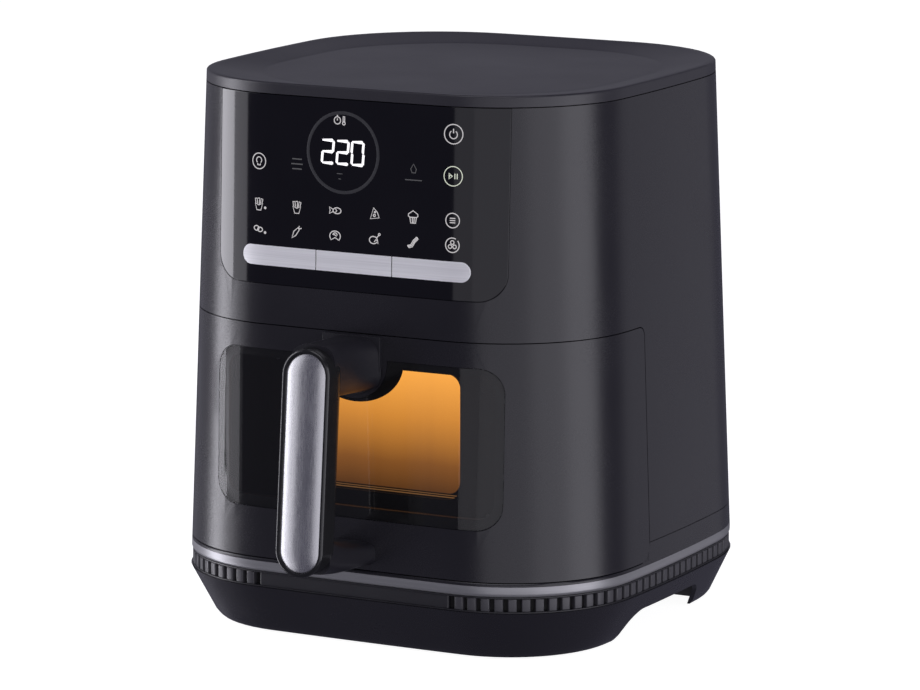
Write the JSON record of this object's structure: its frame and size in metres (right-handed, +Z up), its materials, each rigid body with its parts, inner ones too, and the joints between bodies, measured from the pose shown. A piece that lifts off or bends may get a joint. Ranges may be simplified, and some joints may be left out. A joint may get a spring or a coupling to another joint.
{
  "type": "air fryer",
  "caption": "Tapered counter-top air fryer with a windowed pull-out drawer, front handle, gloss touch panel and a finned vent band.",
  "frame": {"origin": "centre of the underside, in the plane that the rubber feet stand on, on the body's upright axis", "axes": "+Z up, -Y the way the drawer pulls out, +X to the right when facing the front from outside"},
  "size_m": [0.2912, 0.3503, 0.33],
  "materials": {
    "housing_plastic": "satin anthracite, fine texture",
    "lid_plastic": "satin anthracite, a shade lighter",
    "inner_plastic": "matte black moulding",
    "vent_plastic": "satin grey",
    "handle_plastic": "semi-gloss black",
    "gloss_panel": "high gloss black",
    "brushed_trim": "brushed along its length",
    "handle_brushed": "brushed upright",
    "dial_metal": "fine satin",
    "screw_steel": "plain",
    "rubber": "matte",
    "silicone": "matte",
    "galvanised_sheet": "galvanised",
    "chamber_steel": "dull rolled sheet",
    "heater_steel": "heat-darkened tube",
    "guard_wire": "plated wire",
    "nonstick": "dark non-stick coating",
    "insulation": "fibrous board",
    "circuit_board": "green laminate",
    "component_black": "moulded",
    "display_face": "smoked display face",
    "cable_grey": "flat cable",
    "ceramic": "glazed ceramic",
    "lamp_glow": "warm lit bulb",
    "lamp_glass": "clear heat glass",
    "clear_glass": "clear",
    "window_glass": "smoked, flush",
    "motor_steel": "lacquered laminations",
    "fan_aluminium": "pressed",
    "fan_plastic": "moulded",
    "switch_white": "moulded"
  },
  "bodies": {
    "housing": {"base_housing": "housing_plastic", "bottom_plate": "inner_plastic", "rubber_feet": "rubber", "housing_screws": "screw_steel", "trim_ring": "brushed_trim", "vent_band": "vent_plastic", "upper_housing": "housing_plastic", "control_panel": "gloss_panel", "mode_bar": "brushed_trim", "dial_ring": "dial_metal", "lid_cover": "lid_plastic", "front_frame": "inner_plastic", "rear_grille": "vent_plastic", "exhaust_duct": "galvanised_sheet", "cord_inlet": "inner_plastic", "light_guide": "inner_plastic", "display_module": "display_face", "touch_board": "circuit_board", "ribbon_cable": "cable_grey", "power_board": "circuit_board", "board_relays": "component_black", "board_capacitor": "component_black", "board_standoffs": "inner_plastic", "chamber_liner": "chamber_steel", "drawer_rails": "inner_plastic", "insulation_pad": "insulation", "heat_shield": "galvanised_sheet", "heater_element": "heater_steel", "heater_clips": "galvanised_sheet", "heater_guard": "guard_wire", "guard_posts": "guard_wire", "temperature_sensor": "screw_steel", "thermal_cutoff": "component_black", "lamp_lens": "lamp_glass", "lamp_bulb": "lamp_glow", "lamp_socket": "ceramic", "fan_motor": "motor_steel", "motor_bearings": "screw_steel", "motor_bracket": "galvanised_sheet", "motor_screws": "screw_steel", "door_switch": "component_black", "switch_spring": "screw_steel"},
    "drawer": {"drawer_front": "housing_plastic", "window_glass": "window_glass", "window_frame": "inner_plastic", "drawer_inner_panel": "inner_plastic", "drawer_seal": "silicone", "basket": "nonstick", "inner_glass": "clear_glass", "basket_screws": "screw_steel", "handle": "handle_plastic", "handle_plate": "handle_brushed", "handle_screws": "screw_steel"},
    "crisper": {"crisper_plate": "nonstick", "crisper_bumpers": "silicone"},
    "fan_rotor": {"motor_shaft": "screw_steel", "chamber_fan": "fan_aluminium", "cooling_fan": "fan_plastic", "fan_nut": "screw_steel"},
    "switch_plunger_body": {"switch_plunger": "switch_white"}
  },
  "joints": [
    {"name": "drawer_slide", "type": "slide", "parent": "housing", "child": "drawer", "axis": [0, -1, 0], "range_m": [0, 0.28]},
    {"name": "crisper_lift", "type": "slide", "parent": "drawer", "child": "crisper", "axis": [0, 0, 1], "range_m": [0, 0.08]},
    {"name": "fan_spin", "type": "hinge", "parent": "housing", "child": "fan_rotor", "pos_m": [0, 0.005, 0.28], "axis": [0, 0, 1], "continuous": true},
    {"name": "switch_press", "type": "slide", "parent": "housing", "child": "switch_plunger_body", "axis": [0, 1, 0], "range_m": [0, 0.0008], "stiffness_N_per_m": 400, "deforming": ["switch_spring"]}
  ]
}
